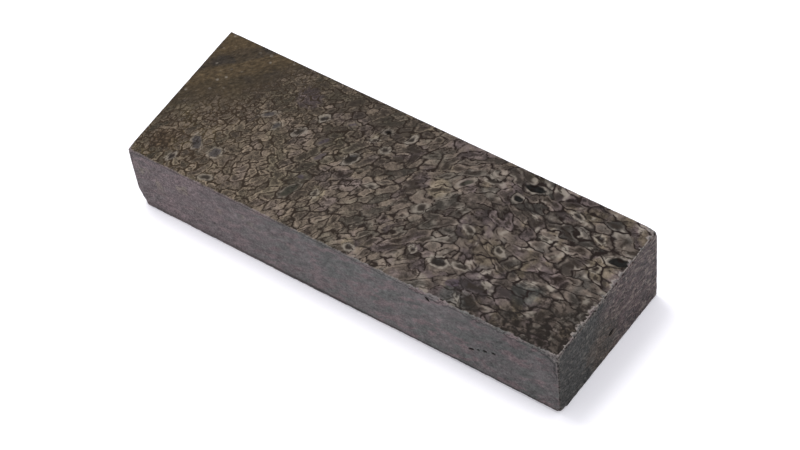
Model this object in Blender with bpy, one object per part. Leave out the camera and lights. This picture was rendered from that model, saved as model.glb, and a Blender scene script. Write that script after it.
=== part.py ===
"""Sawn block of fossil dinosaur bone, lying on its broad sawn face.

The block is one solid piece of stone. A rough blank is cut by six flat saw cuts, each a little out of
square, one lower corner is broken away, and every edge is eased as handling eases it. Lengths are in
metres, +X runs along the block towards its coarse-celled end, and +Z is up. The origin is the middle of
the block's bounding box in plan, at the height of the face that it rests on.
"""
import math

import bmesh
import bpy
from mathutils import Vector

MM = 0.001

# Driving dimensions of the block, measured at the height of the polished face
LENGTH = 125.0 * MM
WIDTH = 44.2 * MM
HEIGHT = 23.0 * MM

# How far each cut is out of square, in degrees. A lean tips the face up (or down, where negative), and a
# turn swings it about the vertical.
POLISHED_FACE_RISE_TO_END = 1.15
POLISHED_FACE_RISE_TO_FAR_SIDE = 2.65
NEAR_SIDE_LEAN = -2.6
FAR_SIDE_LEAN = 2.4
FAR_SIDE_TURN = -0.5
DENSE_END_LEAN = -3.95
COARSE_END_LEAN = 1.65
COARSE_END_TURN = -1.85

# The corner that is broken away, at the foot of the near side's dense end
BROKEN_ALONG_NEAR_SIDE = 1.7 * MM
BROKEN_ALONG_DENSE_END = 2.4 * MM
BROKEN_HEIGHT = 4.6 * MM

# The eased edges
EDGE_RADIUS = 0.25 * MM
EDGE_SEGMENTS = 2

BLANK_ALLOWANCE = 1.5    # the blank's size over the block's


def slope(degrees):
    return math.tan(math.radians(degrees))


def saw_cut(direction, distance, lean, turn=0.0):
    """Return a point on an upright cut at the polished face's height, and its outward normal."""
    outward = Vector(direction)
    sideways = Vector((0.0, 0.0, 1.0)).cross(outward)
    point = outward * distance + Vector((0.0, 0.0, HEIGHT))
    normal = outward + sideways * slope(turn) + Vector((0.0, 0.0, slope(lean)))
    return point, normal.normalized()


def block_cuts():
    """Return the point and outward normal of each face of the block, the resting face first."""
    resting = (Vector((0.0, 0.0, 0.0)), Vector((0.0, 0.0, -1.0)))
    rise = Vector((-slope(POLISHED_FACE_RISE_TO_END), -slope(POLISHED_FACE_RISE_TO_FAR_SIDE), 1.0))
    polished = (Vector((0.0, 0.0, HEIGHT)), rise.normalized())
    return [
        resting,
        polished,
        saw_cut((0.0, -1.0, 0.0), WIDTH / 2, NEAR_SIDE_LEAN),
        saw_cut((0.0, 1.0, 0.0), WIDTH / 2, FAR_SIDE_LEAN, FAR_SIDE_TURN),
        saw_cut((-1.0, 0.0, 0.0), LENGTH / 2, DENSE_END_LEAN),
        saw_cut((1.0, 0.0, 0.0), LENGTH / 2, COARSE_END_LEAN, COARSE_END_TURN),
    ]


def cut_away(bm, point, normal):
    """Saw the blank along one plane, drop what is outside it and close the cut."""
    geometry = bm.verts[:] + bm.edges[:] + bm.faces[:]
    cut = bmesh.ops.bisect_plane(bm, geom=geometry, plane_co=point, plane_no=normal, clear_outer=True)
    rim = [part for part in cut["geom_cut"] if isinstance(part, bmesh.types.BMEdge)]
    bmesh.ops.edgeloop_fill(bm, edges=rim)


def break_corner(bm):
    """Take off the lower near corner of the dense end, through a point on each of its three edges."""
    corner = min(bm.verts, key=lambda vert: vert.co.x + vert.co.y + vert.co.z).co.copy()
    on_near_side = corner + Vector((BROKEN_ALONG_NEAR_SIDE, 0.0, 0.0))
    on_dense_end = corner + Vector((0.0, BROKEN_ALONG_DENSE_END, 0.0))
    on_upright = corner + Vector((0.0, 0.0, BROKEN_HEIGHT))
    normal = (on_dense_end - on_near_side).cross(on_upright - on_near_side)
    if normal.dot(corner - on_near_side) < 0.0:
        normal.negate()
    cut_away(bm, on_near_side, normal.normalized())


def ease_edges(bm):
    bmesh.ops.bevel(bm, geom=bm.edges[:], offset=EDGE_RADIUS, offset_type="OFFSET", affect="EDGES",
                    segments=EDGE_SEGMENTS, profile=0.5, clamp_overlap=True)


def centre_in_plan(bm):
    """Put the middle of the bounding box over the origin, with the resting face at zero height."""
    low = Vector([min(vert.co[axis] for vert in bm.verts) for axis in range(3)])
    high = Vector([max(vert.co[axis] for vert in bm.verts) for axis in range(3)])
    middle = (low + high) / 2
    bmesh.ops.translate(bm, verts=bm.verts[:], vec=Vector((-middle.x, -middle.y, -low.z)))


def fossil_bone_material():
    """Dark taupe agatised bone with a satin polish."""
    material = bpy.data.materials.new("fossil_bone")
    material.use_nodes = True
    shader = material.node_tree.nodes["Principled BSDF"]
    shader.inputs["Base Color"].default_value = (0.115, 0.092, 0.072, 1.0)
    shader.inputs["Roughness"].default_value = 0.38
    shader.inputs["Metallic"].default_value = 0.0
    return material


def bone_block():
    """Build the block as one closed solid."""
    bm = bmesh.new()
    bmesh.ops.create_cube(bm, size=1.0)
    blank = Vector((LENGTH, WIDTH, 2 * HEIGHT)) * BLANK_ALLOWANCE
    bmesh.ops.scale(bm, verts=bm.verts[:], vec=blank)
    for point, normal in block_cuts():
        cut_away(bm, point, normal)
    break_corner(bm)
    bmesh.ops.recalc_face_normals(bm, faces=bm.faces[:])
    ease_edges(bm)
    centre_in_plan(bm)
    mesh = bpy.data.meshes.new("bone_block")
    bm.to_mesh(mesh)
    bm.free()
    mesh.materials.append(fossil_bone_material())
    block = bpy.data.objects.new("bone_block", mesh)
    bpy.context.scene.collection.objects.link(block)
    return block


def main():
    for old in list(bpy.data.objects):
        bpy.data.objects.remove(old, do_unlink=True)
    bone_block()


main()
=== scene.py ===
"""Sawn block of fossil dinosaur bone, polished on its upper face and lying on a pale studio floor.

The block's six flat faces are read off its CAD node. The polished face carries the bone's marrow cells,
coarse at one end and fine towards a dense corner. They grow from seeds, and the walls between them follow
the edges of the mesh, so that each wall and each hollow has its own shape. A Geometry Nodes tree then
sinks the walls, digs the hollows and roughens the sawn faces.
"""
import math

import bpy
import numpy as np
from bpy.props import FloatProperty, FloatVectorProperty, IntProperty, PointerProperty
from mathutils import Matrix, Vector, geometry, kdtree, noise


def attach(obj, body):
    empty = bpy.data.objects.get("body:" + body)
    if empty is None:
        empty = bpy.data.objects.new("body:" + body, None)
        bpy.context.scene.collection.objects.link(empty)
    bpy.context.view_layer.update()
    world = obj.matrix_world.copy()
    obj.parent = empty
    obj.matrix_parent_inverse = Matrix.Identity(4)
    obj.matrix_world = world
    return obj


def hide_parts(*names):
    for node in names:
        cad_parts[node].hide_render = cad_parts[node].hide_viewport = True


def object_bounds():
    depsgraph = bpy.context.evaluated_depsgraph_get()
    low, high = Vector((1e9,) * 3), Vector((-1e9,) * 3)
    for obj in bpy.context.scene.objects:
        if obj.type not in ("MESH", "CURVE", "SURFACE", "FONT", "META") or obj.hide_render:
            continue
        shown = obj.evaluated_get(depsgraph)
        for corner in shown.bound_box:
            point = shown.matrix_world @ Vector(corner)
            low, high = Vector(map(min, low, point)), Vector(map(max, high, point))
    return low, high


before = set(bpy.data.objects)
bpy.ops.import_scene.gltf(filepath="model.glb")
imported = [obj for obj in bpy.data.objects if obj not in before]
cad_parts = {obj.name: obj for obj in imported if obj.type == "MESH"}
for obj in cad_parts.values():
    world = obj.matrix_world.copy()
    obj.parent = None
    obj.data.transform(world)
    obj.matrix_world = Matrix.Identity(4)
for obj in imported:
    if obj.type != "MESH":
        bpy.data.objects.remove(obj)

bl_info = {
    "name": "Fossil Bone Block",
    "version": (1, 0, 0),
    "blender": (4, 5, 0),
    "location": "3D View > Sidebar > Fossil Bone",
    "description": "Builds a sawn block of agatised dinosaur bone and a studio stage for it",
    "category": "Add Mesh",
}

CAD_NODE = "bone_block"
BODY = "root"
CAD_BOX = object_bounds()
MM = 0.001


def srgb(red, green, blue):
    """Turn an sRGB colour in 0 to 255 into the linear colour that a shader takes."""
    def linear(level):
        level = level / 255
        return level / 12.92 if level <= 0.04045 else ((level + 0.055) / 1.055) ** 2.4
    return (linear(red), linear(green), linear(blue))


def smooth_step(value, low, high):
    """Rise smoothly from 0 where a value is low to 1 where it is high."""
    share = np.clip((value - low) / (high - low), 0, 1)
    return share * share * (3 - 2 * share)


def as_flat(places):
    """Turn complex places on a face into rows of flat coordinates."""
    return np.stack([places.real, places.imag], axis=-1)


def as_places(flat):
    """Turn rows of flat coordinates on a face into complex places."""
    return flat[:, 0] + 1j * flat[:, 1]


# ---------------------------------------------------------------------------------------------------------
# The flat faces of the block, read off its CAD node
# ---------------------------------------------------------------------------------------------------------

# The block's corners, each by the signs of its x, y and z
CORNERS = [(x, y, z) for z in (-1, 1) for y in (-1, 1) for x in (-1, 1)]

# Each face by its outward direction
FACES = {
    "polished": (0, 0, 1),
    "resting": (0, 0, -1),
    "near side": (0, -1, 0),
    "far side": (0, 1, 0),
    "dense end": (-1, 0, 0),
    "coarse end": (1, 0, 0),
}

BROKEN_CORNER = (-1, -1, -1)
FACE_TIGHTNESS = 0.95       # cosine of how far a face may look away from its direction
CORNER_TIGHTNESS = 0.9      # the same for the broken corner's flat


def meets(signs, direction):
    """Tell whether a corner, given by its signs, lies on the face that looks in a direction."""
    return any(part and part == sign for part, sign in zip(direction, signs))


def flat_faces(node):
    """Return each face's outward normal and its distance from the origin, in millimetres.

    The broken corner's flat comes last, under its own name.
    """
    mesh = node.data
    areas = {}
    for polygon in mesh.polygons:
        key = tuple(round(part, 3) for part in polygon.normal)
        areas.setdefault(key, []).append(polygon)

    def plane(direction, tightness):
        """Return the largest flat that looks towards a direction."""
        towards = Vector(direction).normalized()
        facing = [group for key, group in areas.items() if Vector(key).normalized().dot(towards) > tightness]
        group = max(facing, key=lambda polygons: sum(polygon.area for polygon in polygons))
        normal = sum((polygon.normal * polygon.area for polygon in group), Vector()).normalized()
        distance = sum(polygon.center.dot(normal) * polygon.area for polygon in group)
        return np.array(normal), distance / sum(polygon.area for polygon in group) / MM

    planes = {name: plane(direction, FACE_TIGHTNESS) for name, direction in FACES.items()}
    planes["broken corner"] = plane(BROKEN_CORNER, CORNER_TIGHTNESS)
    return planes


def block_corners(planes):
    """Return the block's eight sharp corners, before the broken one is taken off."""
    corners = []
    for signs in CORNERS:
        meeting = [planes[name] for name, direction in FACES.items() if meets(signs, direction)]
        normals = np.array([normal for normal, distance in meeting])
        distances = np.array([distance for normal, distance in meeting])
        corners.append(np.linalg.solve(normals, distances))
    return np.array(corners)


class FaceFrame:
    """Flat coordinates on one face, in millimetres, seen from outside with u to the right and v up."""

    def __init__(self, name, planes, corners):
        self.normal = planes[name][0]
        self.loop = [index for index, signs in enumerate(CORNERS) if meets(signs, FACES[name])]
        level = name in ("polished", "resting")
        upward = np.cross(self.normal, (1, 0, 0)) if level else np.array((0.0, 0.0, 1.0))
        self.right = np.cross(upward, self.normal)
        self.right /= np.linalg.norm(self.right)
        self.up = np.cross(self.normal, self.right)
        self.origin = np.zeros(3)
        flat = self.flat(corners[self.loop])
        middle = flat.mean(axis=0)
        turns = np.arctan2(flat[:, 1] - middle[1], flat[:, 0] - middle[0])
        self.loop = [self.loop[index] for index in np.argsort(turns)]
        self.origin = corners[self.loop[0]]

    def flat(self, points):
        """Return the flat coordinates of points on the face."""
        offsets = np.asarray(points) - self.origin
        return np.stack([offsets @ self.right, offsets @ self.up], axis=-1)

    def solid(self, flat):
        """Return the places in the block of flat coordinates."""
        return self.origin + flat[:, :1] * self.right + flat[:, 1:] * self.up


# ---------------------------------------------------------------------------------------------------------
# The marrow cells of the polished face
# ---------------------------------------------------------------------------------------------------------

# Places on the polished face are complex numbers here, in millimetres from its near dense corner: the real
# part runs along the block and the imaginary part across it. Seeds are laid on a growth plane, where all
# cells are alike, and the plane is wrapped over the face so that they follow the bone's flow.
FLOW_CENTRE = complex(117.0, -42.0)  # the cells lie along circles round this point
DENSE_POINT = complex(-4.0, 48.0)    # the cells shrink towards this point, outside the dense corner
FLOW_TURN = 85.0                     # how far along the block the flow turns from slanting to level
TURN_HEIGHT = 8.0                    # how far the flow lines rise towards the turn
TURN_REACH = (24.0, 11.0)            # how far the rise spreads before the turn and after it
STRETCH = 2.0                        # length over width of a plain cell
FALL_OFF = 1.2                       # how fast the cells shrink towards the dense point

# Plain seeds
SMALLEST_CELL = 0.7      # no seeds are laid where cells would be smaller, in millimetres
GRID_MARGIN = 12         # how far the seeds' grid reaches past the face, in seed steps
RIM_SAMPLES = 60         # places along each long side that the grid's reach is found from
PLANE_SHARE = 0.98       # share of the growth plane's wedge that seeds are laid in
OVERHANG = 4.0           # how far off the face seeds are kept, in millimetres
SEED_JITTER = 0.42       # how far a seed strays from its grid, over the seed step
SEEDS_LEFT_OUT = 0.16    # share of the grid's seeds that are dropped

# Small cells where three plain cells meet
MEETING_ROOM = 0.57      # how far off the three seeds have to be, over the seed step
SMALL_CELLS = (0.38, 0.12)              # share of such meetings that get one, coarse end first
SMALL_CELLS_CHANGE = (45.0, 80.0)       # where along the block that share changes, in millimetres
CROWD_MIDDLE = complex(58.0, 4.0)       # more small cells crowd round this place
CROWD_REACH = 18.0       # how far the crowd spreads, in millimetres
CROWD_EDGE = (1.4, 0.6)  # where it starts and is full, over its reach
CROWD_SHARE = 0.4        # the crowd's extra share of meetings
SMALL_CELL_CHANCES = (0.8, 0.3, 0.1)    # least tone, tint and chance of a small cell: light and plain
SMALL_CELL_SPREAD = 0.4  # how far above those they go

# Guards: seeds that ring a heart, so that its cell keeps round it
GUARDS = 8               # seeds in a ring
GUARD_DISTANCE = 1.9     # the ring's half width, over the heart's with half a cell

# Room that seeds keep, over the cell size
ROOM_GUARD_TO_GUARD = 0.6
ROOM_GUARD_TO_PLAIN = 0.62
ROOM_HEART_TO_GUARD = 0.25
ROOM_HEART_TO_PLAIN = 0.525
ROOM_HEART_TO_SMALL = 0.35
ROOM_HEART_LEAST = 0.25  # added past every heart's rim, in millimetres

# Walls. One lies across the flow if the seeds on its two sides follow each other along the flow.
JOINED_ALONG = 0.40      # share of walls across the flow that are missing
JOINED_ACROSS = 0.05     # share of walls along the flow that are missing
ALONG_SLANT = 1.7        # least length along the flow, over that across it, of a pair along the flow
JOINED_FEWER = 0.25      # how much smaller both shares are at the dense end
JOINED_CHANGE = (60.0, 95.0)            # where along the block that changes, in millimetres
JOINED_IN_CROWD = 0.5    # how much smaller both shares are in the crowd
MOST_JOINED = 3          # seeds in the largest joined cell
WANDER = ((0.36, 0.8), (0.19, 2.3), (0.07, 5.0))    # each wander of a wall over the cell size, and its waves
BEND_ROUNDS = 4          # rounds in which a point finds its place on a wandering wall or rim
CORNER_SOFTNESS = 0.022  # how round the cells' corners are, over the seed step
NEIGHBOURS = 9           # seeds looked at round each point
FAR_OFF = 9.0            # a distance that never counts, in seed steps
LONGEST_WALL = 40.0      # walls longer than this run off the face and are dropped, in millimetres
BESIDE_WALL = 0.9        # how far beside a wall its flanking points lie, over the wall width

# Hearts
HEART_WOBBLE = 0.40      # how far the hearts' rims wander, in millimetres
HEART_WAVES = 0.9        # how often they do, per millimetre

# Hearts that stand out on the polished face, in millimetres: how far along from the dense end and how far
# in from the far side, length, width, turn in degrees, and kind
HEARTS = [
    (93.5, 4.0, 5.8, 1.9, 6, "hollow"),
    (91.7, 8.8, 2.6, 1.8, -12, "hollow"),
    (106.7, 6.0, 2.4, 1.2, -8, "rimmed"),
    (114.8, 9.3, 2.3, 1.3, -28, "ringed"),
    (122.3, 12.9, 5.4, 2.4, 18, "hollow"),
    (85.7, 34.6, 3.7, 2.4, 5, "rimmed"),
    (86.9, 22.8, 2.4, 1.2, -25, "plain"),
    (50.0, 19.0, 4.0, 2.0, 62, "rimmed"),
    (19.8, 34.3, 3.2, 2.4, 60, "blue"),
    (13.8, 33.8, 4.2, 2.4, -55, "blue"),
    (34.0, 18.4, 2.8, 1.3, 55, "plain"),
    (28.0, 19.6, 2.2, 1.5, 65, "blue"),
    (24.2, 17.5, 3.0, 1.2, 45, "blue"),
    (43.0, 22.3, 3.2, 1.7, 60, "dusky"),
    (42.5, 34.8, 5.2, 1.9, 68, "green"),
    (53.1, 7.4, 1.9, 1.3, 15, "hollow"),
    (59.4, 6.5, 2.0, 0.9, 70, "rimmed"),
    (64.8, 41.7, 1.7, 1.4, 0, "ringed"),
    (73.3, 22.9, 2.3, 1.8, 40, "plain"),
    (96.3, 24.6, 2.0, 1.2, -30, "plain"),
    (91.2, 33.0, 3.2, 1.1, 12, "plain"),
    (55.7, 12.5, 1.5, 1.1, 30, "plain"),
    (78.3, 11.0, 3.4, 1.3, 52, "green"),
    (83.8, 7.2, 3.2, 1.2, 12, "plain"),
    (103.8, 16.0, 1.3, 0.8, 0, "plain"),
    (48.4, 32.4, 1.3, 1.0, 80, "plain"),
    (78.4, 34.6, 1.4, 0.9, -30, "ringed"),
    (37.0, 11.6, 2.0, 1.2, 50, "rimmed"),
    (44.3, 9.8, 2.0, 1.1, 40, "dusky"),
    (42.5, 29.9, 1.9, 1.2, 20, "dusky"),
    (92.0, 38.2, 3.6, 2.4, 30, "purple"),
    (11.0, 40.6, 2.0, 0.8, 75, "rimmed"),
    (22.2, 41.8, 2.2, 1.0, 20, "plain"),
    (118.6, 17.5, 1.6, 1.1, 60, "plain"),
    (41.0, 17.9, 2.9, 1.0, 58, "dusky"),
    (51.6, 11.2, 1.0, 0.6, 40, "plain"),
    (59.0, 23.6, 1.5, 0.9, 10, "plain"),
]

# Each kind's tint, from black at 0 to plum at 1, and how deep it is dug, over the depth of a hollow
HEART_KINDS = {
    "hollow": (0.0, 1.0),
    "rimmed": (0.1, 0.2),
    "ringed": (0.15, 0.2),
    "plain": (0.3, 0.1),
    "green": (0.5, 0.1),
    "blue": (0.7, 0.0),
    "dusky": (0.88, 0.0),
    "purple": (0.95, 0.0),
}

# What colours a heart's middle over the black of a hollow: the tints where each colour starts and is full
HEART_TINTS = {
    "dim_heart": (0.02, 0.14),
    "green_heart": (0.4, 0.5),
    "blue_heart": (0.55, 0.7),
    "plum_heart": (0.8, 0.95),
}

# Soft patches of tinted cells: how far along from the dense end and in from the far side, and their reach
TINTED_PATCHES = [
    (119.3, 18.5, 4.0, "cream_filling"),
    (110.0, 6.0, 3.0, "tan_filling"),
    (107.9, 33.4, 4.2, "teal_filling"),
    (94.5, 42.0, 5.0, "teal_filling"),
    (96.5, 36.5, 5.5, "plum_filling"),
    (73.5, 17.0, 3.5, "cream_filling"),
    (94.0, 27.5, 4.5, "tan_filling"),
    (92.5, 1.5, 3.0, "green_filling"),
    (4.8, 28.5, 3.0, "cream_filling"),
    (6.0, 38.0, 3.5, "brown_bone"),
    (30.0, 9.0, 4.0, "plum_filling"),
    (48.6, 32.8, 2.2, "cream_filling"),
    (51.6, 11.2, 1.8, "cream_filling"),
    (63.4, 41.9, 1.8, "cream_filling"),
]

# Small pits in the sawn faces, in millimetres: how far along from the face's left end, how far below its top
# edge, length, width and turn in degrees
SAWN_PITS = {
    "near side": [
        (88.2, 1.9, 1.9, 1.1, -50),
        (99.9, 13.8, 2.0, 0.9, 25),
        (101.9, 12.8, 0.9, 0.8, 15),
        (103.8, 12.0, 1.5, 0.9, 20),
        (106.2, 11.2, 1.4, 0.9, 10),
    ],
    "coarse end": [
        (22.6, 16.6, 2.6, 1.5, 20),
    ],
}


def rise(along):
    """Return how far the flow lines rise beside their turn, as an imaginary number."""
    reach = np.where(along < FLOW_TURN, *TURN_REACH)
    return 1j * TURN_HEIGHT * np.exp(-((along - FLOW_TURN) / reach) ** 2)


def unroll(place):
    """Return the logarithm of a place about the flow centre, with the flow's rise and stretch taken out."""
    wound = np.log(place - rise(place.real) - FLOW_CENTRE)
    return wound.real + 1j * wound.imag / STRETCH


def noise_at(places, waves):
    """Return smooth random shifts at places, with so many waves to a unit of length."""
    shifts = [noise.noise_vector(Vector((place.real * waves, place.imag * waves, waves))) for place in places]
    return np.array([complex(shift.x, shift.y) for shift in shifts])


def gap_to_dense_point(place):
    """Return how far a place is from the dense point, unrolled."""
    return unroll(DENSE_POINT) - unroll(place)


def grow(place):
    """Map a place on the face to the growth plane, where all cells have one size and no direction."""
    return -gap_to_dense_point(place) ** (1 - FALL_OFF) / (FALL_OFF - 1)


def ungrow(growth):
    """Map a point of the growth plane back to its place on the face."""
    gap = (-growth * (FALL_OFF - 1)) ** (1 / (1 - FALL_OFF))
    wound = unroll(DENSE_POINT) - gap
    level = FLOW_CENTRE + np.exp(wound.real + 1j * wound.imag * STRETCH)
    return level + rise(level.real)


class Ovals:
    """Oval marks on a flat face, placed by their middles, with half lengths, half widths and turns."""

    def __init__(self, middles, rows):
        self.middles = np.array(middles)
        self.long = np.array([row[0] for row in rows]) / 2
        self.wide = np.array([row[1] for row in rows]) / 2
        self.turn = np.exp(1j * np.radians([row[2] for row in rows]))

    def each(self):
        """Return the middle, half length, half width and turn of each oval."""
        return zip(self.middles, self.long, self.wide, self.turn)

    def reach(self, places):
        """Return the oval that each place is deepest in or nearest to, and how deep inside its rim it is."""
        offset = (places[:, None] - self.middles) * np.conj(self.turn)
        ratio = np.hypot(offset.real / self.long, offset.imag / self.wide)
        mean_radius = 0.7 * self.wide + 0.3 * self.long
        depth = (1 - ratio) * mean_radius
        nearest = np.argmax(depth, axis=1)
        return nearest, depth[np.arange(len(places)), nearest]

    def rings(self, step, gaps, wobble=0.0):
        """Return rings of points round the ovals, each a gap outside the rim, and three points in each."""
        narrowest = 0.15
        spine = np.linspace(-0.6, 0.6, 3)
        rings = []
        for middle, long, wide, turn in self.each():
            for gap in (gap for gap in gaps if wide + gap > narrowest):
                count = math.ceil(math.pi * (long + wide) / step)
                around = np.exp(2j * math.pi * np.arange(count) / count)
                ring = around.real * (long + gap) + 1j * around.imag * (wide + gap)
                rings.append(middle + ring * turn)
            rings.append(middle + spine * long * turn)
        rings = np.concatenate(rings)
        bent = rings
        for _ in range(BEND_ROUNDS if wobble else 0):
            bent = rings - wobble * noise_at(bent, HEART_WAVES)
        return bent


WHOLE_HULL = 0      # the triangulation's own numbers for keeping all triangles
INSIDE_LOOPS = 1    # and for keeping those inside the loops


def triangulate(points, loops, kind):
    """Return the triangles between points, in an order that is the same on every run."""
    triangles = np.array(geometry.delaunay_2d_cdt(points, [], loops, kind, 0.0)[2])
    rows = np.arange(len(triangles))[:, None]
    triangles = triangles[rows, (triangles.argmin(axis=1)[:, None] + np.arange(3)) % 3]
    return triangles[np.lexsort(triangles.T[::-1])]


def delaunay(seeds):
    """Return the triangles between seeds, and the places that lie equally far from their three corners."""
    points = [Vector((seed.real, seed.imag)) for seed in seeds]
    triangles = triangulate(points, [], WHOLE_HULL)
    a, b, c = seeds[triangles].T
    spin = ((b - a) * np.conj(c - a)).imag
    centres = a + 1j * (abs(b - a) ** 2 * (c - a) - abs(c - a) ** 2 * (b - a)) / (2 * spin)
    return triangles, centres


class CellMap:
    """The marrow cells of the polished face: their seeds, walls and hearts."""

    def __init__(self, sizes, outline):
        self.rng = np.random.default_rng(sizes.seed)
        noise.seed_set(sizes.seed)      # without it the walls would wander another way on each run
        self.outline = outline
        self.step = sizes.cell_step
        self.wall_width = sizes.wall_width / MM
        self.hearts = Ovals([self.spot(row[0], row[1]) for row in HEARTS], [row[2:5] for row in HEARTS])
        self.lay_seeds()
        self.find_walls()

    def spot(self, along, from_far):
        """Return the place on the face of a distance along and a distance in from the far side."""
        near_start, near_end, far_end, far_start = self.outline
        length = (abs(near_end - near_start) + abs(far_end - far_start)) / 2
        width = (abs(far_start - near_start) + abs(far_end - near_end)) / 2
        far = far_start + (far_end - far_start) * along / length
        near = near_start + (near_end - near_start) * along / length
        return far + (near - far) * from_far / width

    def size(self, place):
        """Return the plain cell's mean size at a place, in millimetres."""
        reach = np.abs(place - FLOW_CENTRE) * np.abs(gap_to_dense_point(place)) ** FALL_OFF
        return self.step * reach * math.sqrt(STRETCH)

    def wander(self, places):
        """Return how far the walls wander from straight at each place, in millimetres."""
        steps = grow(places) / self.step
        shift = sum(amount * noise_at(steps, waves) for amount, waves in WANDER)
        return shift * self.size(places)

    def bend(self, places):
        """Return where places among straight-walled cells lie once the walls wander."""
        bent = places
        for _ in range(BEND_ROUNDS):
            bent = places + self.wander(bent)
        return bent

    def scatter(self, count):
        """Return random shifts in a square from -1 to 1."""
        return self.rng.uniform(-1, 1, count) + 1j * self.rng.uniform(-1, 1, count)

    def lay_seeds(self):
        """Lay the cells' seeds: a row along each heart, a ring of guards round it, and the rest at random."""
        heart_seeds, heart_cells = self.heart_seeds()
        guards = self.apart(self.clear_of_hearts(self.guard_seeds(), ROOM_HEART_TO_GUARD))
        plain = self.clear_of_hearts(self.plain_seeds(), ROOM_HEART_TO_PLAIN)
        room = ROOM_GUARD_TO_PLAIN * self.size(plain)
        plain = plain[np.array([np.abs(guards - place).min() for place in plain]) > room]
        grown = grow(np.concatenate([heart_seeds, guards, plain]))
        triangles, meetings = delaunay(grown)
        roomy = np.abs(meetings - grown[triangles[:, 0]]) > MEETING_ROOM * self.step
        meetings = ungrow(meetings)
        at_coarse_end, at_dense_end = SMALL_CELLS
        low, high = SMALL_CELLS_CHANGE
        share = at_coarse_end + (at_dense_end - at_coarse_end) * smooth_step(-meetings.real, -high, -low)
        share = share + CROWD_SHARE * self.crowding(meetings)
        meetings = meetings[(self.rng.random(len(meetings)) < share) & roomy]
        small = self.clear_of_hearts(self.on_face(meetings), ROOM_HEART_TO_SMALL)
        self.seeds = grow(np.concatenate([heart_seeds, guards, plain, small]))
        own = len(HEARTS) + np.arange(len(guards) + len(plain) + len(small))
        self.small_cells = own[len(own) - len(small):]
        self.cells = np.concatenate([heart_cells, own]).astype(int)
        self.cell_count = len(HEARTS) + len(own)

    def crowding(self, places):
        """Return how far places lie in the crowd of small cells, from 0 to 1."""
        start, full = CROWD_EDGE
        return smooth_step(-np.abs(places - CROWD_MIDDLE) / CROWD_REACH, -start, -full)

    def heart_seeds(self):
        """Return a row of seeds along each heart, and the number of the cell that each belongs to."""
        seeds, cells = [], []
        for index, (middle, long, wide, turn) in enumerate(self.hearts.each()):
            count = max(1, round(long / wide))
            shifts = (np.arange(count) - (count - 1) / 2) * 2 * long / count
            seeds += list(middle + shifts * turn)
            cells += [index] * count
        return np.array(seeds), np.array(cells)

    def guard_seeds(self):
        """Return rings of seeds that keep each heart's cell round it."""
        guards = []
        for middle, long, wide, turn in self.hearts.each():
            room = wide + 0.5 * self.size(np.array([middle]))[0]
            around = np.exp(2j * math.pi * (np.arange(GUARDS) + self.rng.random()) / GUARDS)
            ring = (around.real * (long + GUARD_DISTANCE * room - wide)
                    + 1j * around.imag * GUARD_DISTANCE * room)
            guards.append(middle + ring * turn)
        return np.concatenate(guards)

    def plain_seeds(self):
        """Return jittered grid seeds over the face, some of them left out."""
        near_start, near_end, far_end, far_start = self.outline
        shares = np.linspace(0, 1, RIM_SAMPLES)
        sides = [near_start + (near_end - near_start) * share for share in shares]
        sides += [far_start + (far_end - far_start) * share for share in shares]
        grown = grow(np.array(sides))
        margin = GRID_MARGIN * self.step
        columns = np.arange(grown.real.min() - margin, grown.real.max() + margin, self.step)
        rows = np.arange(grown.imag.min() - margin, grown.imag.max() + margin, self.step * math.sqrt(3) / 2)
        shift = self.step / 2 * (np.arange(len(rows)) % 2)
        grid = (columns[None, :] + shift[:, None] + 1j * rows[:, None]).ravel()
        grid = grid + self.step * SEED_JITTER * self.scatter(len(grid))
        grown = grid[self.rng.random(len(grid)) > SEEDS_LEFT_OUT]
        grown = grown[np.abs(np.angle(-grown)) < PLANE_SHARE * math.pi / 2 * (FALL_OFF - 1)]
        places = self.on_face(ungrow(grown))
        return places[self.size(places) > SMALLEST_CELL]

    def on_face(self, places):
        """Drop the places that are well off the face."""
        kept = np.ones(len(places), bool)
        for spread, corners in ((places.real, self.outline.real), (places.imag, self.outline.imag)):
            kept &= (spread > corners.min() - OVERHANG) & (spread < corners.max() + OVERHANG)
        return places[kept]

    def clear_of_hearts(self, places, room):
        """Drop the places that are nearer to a heart's rim than some room, over the cell size."""
        return places[-self.hearts.reach(places)[1] > room * self.size(places) + ROOM_HEART_LEAST]

    def apart(self, places):
        """Drop each place that crowds an earlier one."""
        kept = []
        for place, room in zip(places, ROOM_GUARD_TO_GUARD * self.size(places)):
            if all(abs(place - other) > room for other in kept):
                kept.append(place)
        return np.array(kept)

    def find_walls(self):
        """Join some neighbouring cells, and find the wall between each other pair."""
        triangles, centres = delaunay(self.seeds)
        sides = {}
        for triangle, corners in enumerate(triangles):
            for start in range(3):
                pair = tuple(sorted((int(corners[start]), int(corners[start - 1]))))
                sides.setdefault(pair, []).append(triangle)
        sides = {pair: found for pair, found in sides.items() if len(found) == 2}
        self.join_cells(sides)
        self.wall_ends = np.array([centres[ends] for (left, right), ends in sides.items()
                                   if self.cells[left] != self.cells[right]])

    def join_cells(self, pairs):
        """Merge a share of the neighbouring plain cells into long and lobed ones."""
        members = np.bincount(self.cells)
        places = ungrow(self.seeds)
        for pair in pairs:
            first, second = self.cells[pair[0]], self.cells[pair[1]]
            start, end = places[pair[0]], places[pair[1]]
            flow = (end - start) * np.conj(start - FLOW_CENTRE)
            share = JOINED_ALONG if abs(flow.imag) > ALONG_SLANT * abs(flow.real) else JOINED_ACROSS
            share *= (1 - JOINED_FEWER + JOINED_FEWER * smooth_step(start.real, *JOINED_CHANGE)
                      - JOINED_IN_CROWD * self.crowding(start))
            if self.rng.random() > share or first == second or min(first, second) < len(HEARTS):
                continue
            if members[first] + members[second] <= MOST_JOINED:
                self.cells[self.cells == second] = first
                members[first] += members[second]

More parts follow.
